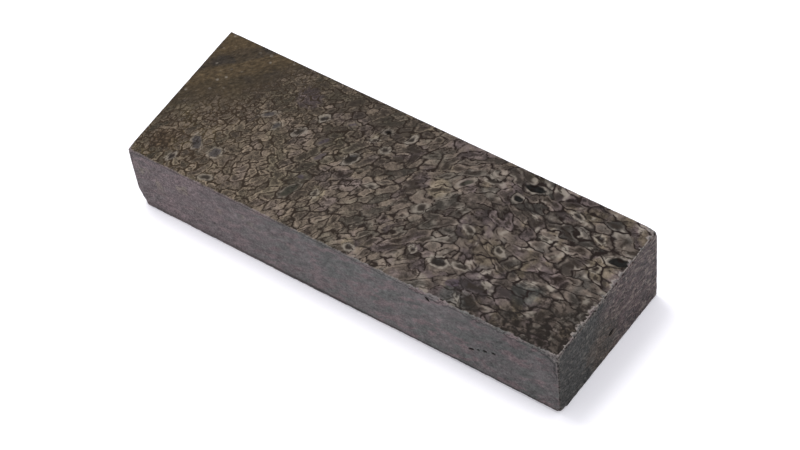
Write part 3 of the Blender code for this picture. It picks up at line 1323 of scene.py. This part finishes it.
    def lay_cores(self, filling):
        """Lay a dark core or a dark ring in some common cells, and cream where the clouds are thickest."""
        chance, depth, coarse = self.chance, self.depth, self.coarse
        cored = chance.step(0.66, 0.68) * self.size.step(1.2, 2.2)
        ringed = chance.step(0.50, 0.52) * chance.step(0.68, 0.66)
        ring = depth.step(0.42, 0.55) * depth.step(0.75, 0.60) * ringed
        core = depth.step(0.50, 0.85) * cored * (0.45 + coarse * 0.4) + ring * 0.35
        cream = (self.cloud + self.broad * 0.6).step(0.56, 0.72) * self.wall.step(0.15, 0.40) * coarse
        cream = cream * (0.25 + self.x.step(0.01, 0.045) * 0.5)
        return self.nodes.over(filling, (core, self.colours.dim_heart), (cream, self.colours.rim))

    def lay_hearts(self, filling):
        """Lay the hearts that stand out: a pale rim, a dark or tinted middle, and a brown line round that."""
        nodes, colours, mottle, wisps = self.nodes, self.colours, self.mottle, self.wisps
        tint = nodes.fact("heart_tint")
        edge = nodes.fact("heart") + mottle.swing(0.5)
        ringed = tint.step(0.02, 0.08) * tint.step(0.35, 0.25)
        rim = (edge + wisps.swing(1.2) + self.cloud.swing(1.2)).step(-0.95, -0.40) * tint.step(0.95, 0.75)
        rim = rim * (self.cloud + ringed * 0.3).step(0.30, 0.55)
        rim = rim * (0.30 + self.level * 0.08 + ringed * 0.22 + tint.step(0.55, 0.65) * 0.08)
        middle = nodes.over(colours.hollow, *((tint.step(*bounds), getattr(colours, name))
                                              for name, bounds in HEART_TINTS.items()))
        bright = 0.95 + mottle.swing(1.6) + wisps.swing(1.2) - edge.step(0.1, 0.7) * 0.35
        middle = nodes.scaled(middle, bright)
        brown = edge.step(-0.35, -0.05) * edge.step(0.25, 0.05)
        return nodes.over(
            filling,
            (rim, colours.rim),
            (edge.step(-0.15, 0.25) * (1.0 - tint * 0.25), middle),
            (brown * (0.45 - tint.step(0.6, 0.7) * 0.3), colours.wall))

    def lay_marks(self, filling):
        """Lay faint inner walls and dark specks."""
        nodes = self.nodes
        swirled = nodes.warped(self.flow, 2.2, 0.5)
        veil = nodes.noise(self.flow, 0.7, 2.0)
        inner = nodes.cells(swirled, 1.5, "DISTANCE_TO_EDGE").step(0.08, 0.02) * veil.step(0.50, 0.56)
        specks = nodes.cells(swirled, 1.9, "F1").step(0.27, 0.13) * veil.step(0.54, 0.48)
        marks = inner * 0.65 + specks * 0.85 * (0.4 + self.coarse * 0.6)
        return nodes.mix(marks.at_most(0.8), filling, self.colours.wall)

    def lay_walls(self, filling):
        """Lay the cell walls, brown at the dense end and near black further along, with shade beside them."""
        shade = self.wall.step(0.65, 0.1) * (0.14 + self.right * 0.04 + self.tip * 0.14)
        ink = self.nodes.mix(self.coarse, self.colours.brown_wall, self.colours.wall)
        return self.nodes.mix(self.line, self.nodes.scaled(filling, 1.0 - shade), ink)

    def lay_dim_corner(self, filling):
        """Dim the near corner of the coarse end."""
        corner = (self.x * 0.62 - self.y - self.patches.swing(0.025)).step(0.036, 0.051)
        dim = corner * (0.45 + self.wisps.step(0.6, 0.4) * 0.5)
        return self.nodes.mix(dim, filling, self.colours.dim_corner)


def dense_bone(nodes, place, colours):
    """Return the colour of the dense outer bone: fine flecks under bands that cut across its corner."""
    fine = nodes.noise(nodes.turned(place, ALONG_BANDS, (600, 1300, 800)), 1.0, 4.0, 0.75)
    soft = nodes.noise(nodes.turned(place, ALONG_BANDS, (70, 340, 70)), 1.0, 3.0, 0.6)
    blots = nodes.noise(place, 110.0, 3.0, 0.6)
    x, y, _ = nodes.parts(place)
    from_corner = (x - y) * math.sqrt(0.5) + CORNER_TO_MIDDLE + soft.swing(0.005)
    bone = nodes.over(colours.dense_ochre, *((from_corner.step(start, full), getattr(colours, name))
                                             for name, start, full in DENSE_BANDS))
    tiny = nodes.cells(nodes.warped(nodes.vector_fact("flow"), 2.0, 0.4), 1.15, "F1")
    dots = nodes.cells(place, 420.0, "F1").step(0.24, 0.12)
    bone = nodes.over(
        bone,
        (blots.step(0.50, 0.60) * 0.4, colours.dense_ochre),
        (blots.step(0.46, 0.36) * 0.5, colours.dense_slate),
        (tiny.step(0.35, 0.7) * 0.25, colours.wall),
        (tiny.step(0.35, 0.1) * soft * 0.5, colours.warm_filling),
        (dots * soft.step(0.48, 0.60) * 0.5, colours.rim))
    bright = 0.80 + fine.swing(2.4)
    return nodes.scaled(bone, bright.at_least(0.3))


# ---------------------------------------------------------------------------------------------------------
# The sawn faces' colours, and the whole material
# ---------------------------------------------------------------------------------------------------------

AGATE_IOR = 1.54
POLISH_SHINE = 0.08     # the shader's specular level, low for a polish that hardly mirrors the pale studio


def sawn_bone(nodes, place, colours):
    """Return the colour of the matte sawn faces, their roughness and their height in bumps."""
    x, y, z = nodes.parts(place)
    end = nodes.fact("end")
    side = 1.0 - end
    patches = nodes.noise(place, 120.0, 3.0, 0.55)
    blotches = nodes.noise(place, 300.0, 3.0, 0.6)
    waved = nodes.warped(place, 300.0, 0.002)
    streaks = nodes.noise(nodes.turned(waved, (0, 40, 0), (380, 380, 680)), 1.0, 3.0, 0.6)
    mottles = nodes.noise(nodes.turned(waved, (0, 20, 0), (200, 300, 620)), 1.0, 3.0, 0.6)
    dashes = nodes.noise(nodes.turned(waved, (22, 0, 0), (560, 440, 1250)), 1.0, 1.0, 0.5).step(0.50, 0.66)
    flecks = nodes.noise(place, 1100.0, 1.0).step(0.50, 0.66)
    grain = nodes.noise(place, 2200.0, 3.0, 0.65)

    # The long sides fade from plum to grey, and the ends from grey to plum with a brown patch between; the
    # ends' colours are kept darker than the sides' as painted shade, matched to the coarse end, which faces
    # away from the key light
    along = (x + patches.swing(0.05)).step(-0.044, -0.002)
    across = (y + patches.swing(0.03)).step(-0.011, 0.004)
    middle = (y + patches.swing(0.02)).step(-0.013, -0.006) * y.step(0.007, -0.002) * z.step(0.020, 0.010)
    ends = nodes.mix(across, colours.shaded_end_grey, colours.shaded_end_plum)
    ends = nodes.mix(middle * 0.65, ends, colours.shaded_end_brown)
    colour = nodes.mix(end, nodes.mix(along, colours.sawn_plum, colours.sawn_grey), ends)

    # Green, pink and tan mottles
    green = (mottles + patches.swing(0.5)).step(0.49, 0.40) * (0.20 + along * 0.45) * (1.0 - end * 0.6)
    pink = (mottles + blotches.swing(0.4)).step(0.52, 0.62) * side * (0.65 + x.step(0.0, 0.03) * 0.3)
    tan = (nodes.noise(place, 170.0, 2.0) + blotches.swing(0.5)).step(0.58, 0.70) * z.step(0.006, 0.014)
    colour = nodes.over(
        colour,
        (green, colours.sawn_green),
        (pink, colours.sawn_pink),
        (tan * (1.0 - along) * side * 0.6, colours.sawn_tan),
        (dashes * end * (0.15 + across * 0.25), colours.sawn_tan))

    # Light and dark: streaks, grain, dashes, flecks, and tiny cells at the dense end, with both ends darkened
    # further as painted shade
    tiny = nodes.cells(nodes.warped(place, 500.0, 0.0006), 720.0, "DISTANCE_TO_EDGE").step(0.16, 0.04)
    tiny = tiny * x.step(0.000, -0.040) * side
    # The end term darkens both ends as painted shade
    bright = 0.83 - end * 0.40 + streaks.swing(1.3) + grain.swing(1.9 + end * 1.8) + patches * 0.4
    bright = bright + dashes * (0.16 + end * (0.24 + across * 0.18)) + flecks * (0.1 + end * 0.3)
    bright = bright + tiny * 0.14 + grain.swing(x.step(-0.020, -0.050)) * 1.2
    bright = bright - x.step(0.028, 0.044) * side * 0.2
    colour = nodes.scaled(colour, bright)
    # Painted shadow along the edge that the block rests on, with pale chips
    colour = lay_foot_shadow_and_chips(nodes, colours, colour, z + blotches.swing(0.0008), patches, along, end)

    # A pale line along the top of the long sides, and a darker one under it
    edge = nodes.fact("edge")
    upper = z.step(0.012, 0.016) * side
    lines = edge.step(1.2, 0.9) * 0.15 - edge.step(1.0, 1.4) * edge.step(2.6, 2.0) * 0.5
    colour = nodes.scaled(colour, 1.0 + upper * lines)
    return colour, 0.62 + grain.swing(0.2), streaks * 0.6 + grain * 0.5


def lay_foot_shadow_and_chips(nodes, colours, colour, ragged, patches, along, end):
    """Lay painted shadow in a dark band above the edge that the block rests on, painted contact shadow in
    dark stretches along that edge, and pale chipped stretches with a painted highlight.
    """
    # Painted shadow: the dark band and the dark stretches stand in for shade under the block's lower edge;
    # the pale stretches are chipped stone with a painted highlight
    crease_shadow = ragged.step(0.0004, 0.0008) * ragged.step(0.0019, 0.0012) * (1.0 - end)
    foot_shadow_and_chips = ragged.step(0.0008, 0.0004) * (1.0 - end * 0.5)
    return nodes.over(
        colour,
        (crease_shadow * (0.3 + along * 0.35), colours.wall),
        (foot_shadow_and_chips * patches.step(0.52, 0.44) * 0.45, colours.wall),
        (foot_shadow_and_chips * patches.step(0.46, 0.56) * 0.30, colours.rim))


def fossil_bone_material(colours):
    """Agatised bone: polished on one face, sawn on the others, and pale where its edges are chipped."""
    material = bpy.data.materials.new("fossil bone")
    material.use_nodes = True
    material.node_tree.nodes.clear()
    nodes = Nodes(material.node_tree)
    place = nodes.add("ShaderNodeTexCoord").outputs["Object"]
    polished = nodes.fact("polished")
    top, top_roughness, top_height = polished_bone(nodes, place, colours)
    side, side_roughness, side_height = sawn_bone(nodes, place, colours)
    pit = nodes.fact("pit").step(-0.05, 0.15)
    colour = nodes.mix(pit, nodes.mix(polished, side, top), colours.hollow)
    colour, chip = lay_chips(nodes, place, colours, colour, side, polished)
    open_heart = nodes.fact("dig").step(0.4, 0.8)
    roughness = side_roughness + (top_roughness - side_roughness) * polished + open_heart * 0.35 + chip * 0.25
    height = side_height * (1.0 - polished) + top_height * polished * 0.25
    bump = nodes.add("ShaderNodeBump", {}, {"Strength": 0.35, "Distance": 0.06 * MM, "Height": height})
    shader = nodes.add("ShaderNodeBsdfPrincipled", {}, {
        "Base Color": colour, "Roughness": roughness, "Normal": bump.outputs[0], "IOR": AGATE_IOR,
        "Specular IOR Level": POLISH_SHINE})
    nodes.add("ShaderNodeOutputMaterial", {}, {"Surface": shader.outputs[0]})
    return material


def lay_chips(nodes, place, colours, colour, side, polished):
    """Lay pale chips, rims and dark nicks along the worn edges, and return how far a place is chipped too."""
    speckle = nodes.noise(place, 1500.0, 3.0, 0.7)
    edge = nodes.fact("edge") + speckle.swing(0.6)
    pale = nodes.fact("pale")
    chipped = nodes.fact("chip")
    chip = chipped * edge.step(1.1, 0.9)
    broken = nodes.mix(speckle.step(0.42, 0.62) * pale * 0.5, side, colours.chip)
    rim = edge.step(0.55, 0.85) * edge.step(1.6, 1.2) * pale * (speckle + pale * 0.1).step(0.50, 0.60)
    rim = rim * (0.35 + polished * 0.65) * (0.3 + chipped * 0.7)
    nicks = edge.step(0.7, 0.3) * speckle.step(0.52, 0.44) * pale.step(0.25, 0.35) * (1.0 - polished)
    return nodes.over(colour, (chip, broken), (rim, colours.chip), (nicks * 0.6, colours.wall)), chip


# ---------------------------------------------------------------------------------------------------------
# Sizes and colours that a user would change
# ---------------------------------------------------------------------------------------------------------

def length_property(name, description, default):
    return FloatProperty(name=name, description=description, default=default, min=0.0, precision=5,
                         subtype="DISTANCE", unit="LENGTH")


def colour_property(name, description, red, green, blue):
    return FloatVectorProperty(name=name, description=description, default=srgb(red, green, blue),
                               subtype="COLOR", size=3, min=0.0, max=1.0)


class BlockSizes(bpy.types.PropertyGroup):
    """Sizes of the bone block's surface."""

    seed: IntProperty(name="Seed", description="Chooses the pattern of the plain cells", default=12, min=1)
    cell_step: FloatProperty(name="Cell Step", description="Distance between seeds in the growth plane",
                             default=0.051, min=0.04, max=0.2)
    wall_width: length_property("Wall Width", "Half the width of a cell wall's trough", 0.28 * MM)
    wall_depth: length_property("Wall Depth", "How far the walls are sunk", 0.03 * MM)
    hollow_depth: length_property("Hollow Depth", "How deep the deepest hollows are", 0.6 * MM)
    ripple_height: length_property("Ripple Height", "How far the saw marks and pores go in", 0.25 * MM)
    ripple_size: length_property("Ripple Size", "Distance between saw marks", 2.2 * MM)
    edge_radius: length_property("Edge Radius", "Radius of the eased edges", 0.16 * MM)
    chip_size: length_property("Chip Size", "Radius that the largest chips add", 1.1 * MM)


class BlockColours(bpy.types.PropertyGroup):
    """Colours of the fossil bone."""

    warm_filling: colour_property("Warm Filling", "Cells at the dense end", 94, 83, 71)
    cool_filling: colour_property("Cool Filling", "Cells at the coarse end", 92, 82, 75)
    plum_filling: colour_property("Plum Filling", "Patches of plum cells", 92, 80, 82)
    cream_filling: colour_property("Cream Filling", "Patches of cream cells", 114, 103, 86)
    teal_filling: colour_property("Teal Filling", "Patches of blue green cells", 74, 76, 74)
    tan_filling: colour_property("Tan Filling", "Tan blotches", 103, 92, 77)
    green_filling: colour_property("Green Filling", "Patches of grey green cells", 85, 78, 64)
    gold: colour_property("Gold", "Gold patches at the dense end", 86, 74, 50)
    brown_bone: colour_property("Brown Bone", "Bone between the cells at the dense end", 66, 53, 39)
    rim: colour_property("Rim", "Band round the hearts", 140, 132, 122)
    wall: colour_property("Wall", "Cell walls", 22, 11, 7)
    brown_wall: colour_property("Brown Wall", "Cell walls at the dense end", 34, 24, 14)
    dim_heart: colour_property("Dim Heart", "Hearts of common cells", 40, 33, 28)
    hollow: colour_property("Hollow", "Open hollows", 28, 27, 25)
    green_heart: colour_property("Green Heart", "Dark green hearts", 47, 47, 38)
    blue_heart: colour_property("Blue Heart", "Blue grey hearts", 57, 54, 56)
    plum_heart: colour_property("Plum Heart", "Plum hearts", 72, 62, 70)
    dim_corner: colour_property("Dim Corner", "The dim near corner", 27, 22, 18)
    dense_olive: colour_property("Dense Olive", "Dense outer bone", 62, 53, 40)
    dense_ochre: colour_property("Dense Ochre", "Ochre bands", 80, 67, 49)
    dense_slate: colour_property("Dense Slate", "Slate bands", 54, 48, 42)
    sawn_plum: colour_property("Sawn Plum", "Long sides at the dense end", 87, 78, 79)
    sawn_grey: colour_property("Sawn Grey", "Long sides at the coarse end", 85, 81, 81)
    sawn_green: colour_property("Sawn Green", "Mottles in the sawn faces", 75, 77, 75)
    sawn_pink: colour_property("Sawn Pink", "Pink specks in the sawn faces", 96, 84, 85)
    sawn_tan: colour_property("Sawn Tan", "Faint tan marks high on the long sides", 95, 88, 79)
    # The ends' three colours are darker than the long sides' as painted shade; their grey, plum and brown
    # hues are the stone's own
    shaded_end_grey: colour_property("End Grey", "Near half of the ends", 54, 53, 51)
    shaded_end_plum: colour_property("End Plum", "Far half of the ends", 73, 61, 61)
    shaded_end_brown: colour_property("End Brown", "Brown patch low in the middle of the ends", 72, 62, 53)
    chip: colour_property("Chip", "Fresh chips on the edges", 128, 120, 116)


class StageSizes(bpy.types.PropertyGroup):
    """Camera and light of the studio stage."""

    azimuth: FloatProperty(name="Azimuth", description="Camera's turn round the block",
                           default=math.radians(34.95), subtype="ANGLE")
    elevation: FloatProperty(name="Elevation", description="Camera's height above the floor",
                             default=math.radians(50.72), subtype="ANGLE")
    roll: FloatProperty(name="Roll", description="Camera's tilt to one side", default=math.radians(-2.22),
                        subtype="ANGLE")
    distance: length_property("Distance", "From the camera to the point it looks at", 0.6672)
    lens: FloatProperty(name="Lens", description="Focal length in millimetres", default=119.7)
    key_power: FloatProperty(name="Key Power", description="Power of the main light", default=5.0,
                             subtype="POWER", unit="POWER")
    sky: FloatProperty(name="Sky", description="Strength of the light from all round", default=0.95)
    glow: FloatProperty(name="Glow", description="Strength of the light that the floor gives", default=0.2)


# ---------------------------------------------------------------------------------------------------------
# Operators
# ---------------------------------------------------------------------------------------------------------

class BONE_OT_block(bpy.types.Operator):
    """Build the block of fossil bone in place of its CAD node"""

    bl_idname = "bone.block"
    bl_label = "Bone Block"

    def execute(self, context):
        sizes = context.scene.bone_sizes
        points, shell, facts = build_shell(sizes)
        mesh = bpy.data.meshes.new("fossil_bone_block")
        triangles = np.concatenate([shell.triangles[name] for name in FACES])
        mesh.from_pydata((points * MM).tolist(), [], triangles.tolist())
        polished = np.concatenate([np.full(len(shell.triangles[name]), name == "polished") for name in FACES])
        for name, values in facts.items():
            self.keep(mesh, name, values, "POINT")
        self.keep(mesh, "polished", polished, "FACE")
        mesh.shade_smooth()
        block = bpy.data.objects.new("fossil_bone_block", mesh)
        context.scene.collection.objects.link(block)
        apply_relief(block, sizes, fossil_bone_material(context.scene.bone_colours))
        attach(block, BODY)
        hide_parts(CAD_NODE)
        return {"FINISHED"}

    def keep(self, mesh, name, values, domain):
        """Keep a fact on the mesh as an attribute."""
        kind, key = ("FLOAT", "value") if values.ndim == 1 else ("FLOAT_VECTOR", "vector")
        attribute = mesh.attributes.new(name, kind, domain)
        attribute.data.foreach_set(key, values.ravel().astype(np.float32))


CAMERA_TARGET = Vector((-2.24 * MM, 6.62 * MM, 0.0))
SENSOR_WIDTH = 36.0                 # of the camera, in millimetres
CLIP_RANGE = (0.05, 20.0)           # nearest and furthest that the camera sees
FLOOR_SIZE = 4.0
FLOOR_GAP = 0.05 * MM               # between the block and the floor
FLOOR_COLOUR = (0.91, 0.90, 0.93, 1.0)
FLOOR_GLOW_COLOUR = (0.93, 0.915, 1.0, 1.0)
SKY_COLOUR = (0.97, 0.98, 1.0, 1.0)
KEY_LIGHT_PLACE = Vector((-0.30, 0.03, 0.98))
KEY_LIGHT_SIZE = 0.35


class BONE_OT_stage(bpy.types.Operator):
    """Set up the pale floor, the studio light and the camera"""

    bl_idname = "bone.stage"
    bl_label = "Stage"

    def execute(self, context):
        stage = context.scene.bone_stage
        self.floor(context, stage)
        self.light(context, stage)
        self.camera(context, stage)
        context.scene.view_settings.view_transform = "Standard"
        return {"FINISHED"}

    def floor(self, context, stage):
        half = FLOOR_SIZE / 2
        mesh = bpy.data.meshes.new("studio_floor")
        corners = [(-half, -half), (half, -half), (half, half), (-half, half)]
        mesh.from_pydata([(x, y, -FLOOR_GAP) for x, y in corners], [], [(0, 1, 2, 3)])
        floor = bpy.data.objects.new("studio_floor", mesh)
        context.scene.collection.objects.link(floor)
        material = bpy.data.materials.new("studio floor")
        material.use_nodes = True
        shader = material.node_tree.nodes["Principled BSDF"]
        shader.inputs["Base Color"].default_value = FLOOR_COLOUR
        shader.inputs["Roughness"].default_value = 0.9
        shader.inputs["Specular IOR Level"].default_value = 0.1
        shader.inputs["Emission Color"].default_value = FLOOR_GLOW_COLOUR
        shader.inputs["Emission Strength"].default_value = stage.glow
        mesh.materials.append(material)

    def light(self, context, stage):
        world = bpy.data.worlds.new("studio sky")
        world.use_nodes = True
        background = world.node_tree.nodes["Background"]
        background.inputs["Color"].default_value = SKY_COLOUR
        background.inputs["Strength"].default_value = stage.sky
        context.scene.world = world
        data = bpy.data.lights.new("key light", "AREA")
        data.shape = "DISK"
        data.size = KEY_LIGHT_SIZE
        data.energy = stage.key_power
        lamp = bpy.data.objects.new("key light", data)
        lamp.location = KEY_LIGHT_PLACE
        lamp.rotation_euler = KEY_LIGHT_PLACE.to_track_quat("Z", "Y").to_euler()
        context.scene.collection.objects.link(lamp)

    def camera(self, context, stage):
        back = Vector((math.sin(stage.azimuth) * math.cos(stage.elevation),
                       -math.cos(stage.azimuth) * math.cos(stage.elevation),
                       math.sin(stage.elevation)))
        right = Vector((0, 0, 1)).cross(back).normalized()
        up = back.cross(right)
        turn = Matrix((right, up, back)).transposed() @ Matrix.Rotation(stage.roll, 3, "Z")
        data = bpy.data.cameras.new("camera")
        data.sensor_width = SENSOR_WIDTH
        data.lens = stage.lens
        data.clip_start, data.clip_end = CLIP_RANGE
        camera = bpy.data.objects.new("camera", data)
        camera.matrix_world = Matrix.Translation(CAMERA_TARGET + back * stage.distance) @ turn.to_4x4()
        context.scene.collection.objects.link(camera)
        context.scene.camera = camera


class BONE_PT_panel(bpy.types.Panel):
    """Sizes, colours and operators of the bone block"""

    bl_label = "Fossil Bone"
    bl_idname = "BONE_PT_panel"
    bl_space_type = "VIEW_3D"
    bl_region_type = "UI"
    bl_category = "Fossil Bone"

    def draw(self, context):
        for group in (context.scene.bone_sizes, context.scene.bone_colours, context.scene.bone_stage):
            box = self.layout.box()
            for name in group.bl_rna.properties.keys():
                if name not in ("rna_type", "name"):
                    box.prop(group, name)
        for operator in (BONE_OT_block, BONE_OT_stage):
            self.layout.operator(operator.bl_idname)


CLASSES = (BlockSizes, BlockColours, StageSizes, BONE_OT_block, BONE_OT_stage, BONE_PT_panel)


def register():
    for cls in CLASSES:
        bpy.utils.register_class(cls)
    bpy.types.Scene.bone_sizes = PointerProperty(type=BlockSizes)
    bpy.types.Scene.bone_colours = PointerProperty(type=BlockColours)
    bpy.types.Scene.bone_stage = PointerProperty(type=StageSizes)


def unregister():
    for name in ("bone_sizes", "bone_colours", "bone_stage"):
        delattr(bpy.types.Scene, name)
    for cls in reversed(CLASSES):
        bpy.utils.unregister_class(cls)


def main():
    register()
    bpy.ops.bone.stage()
    bpy.ops.bone.block()


if __name__ == "__main__":
    main()
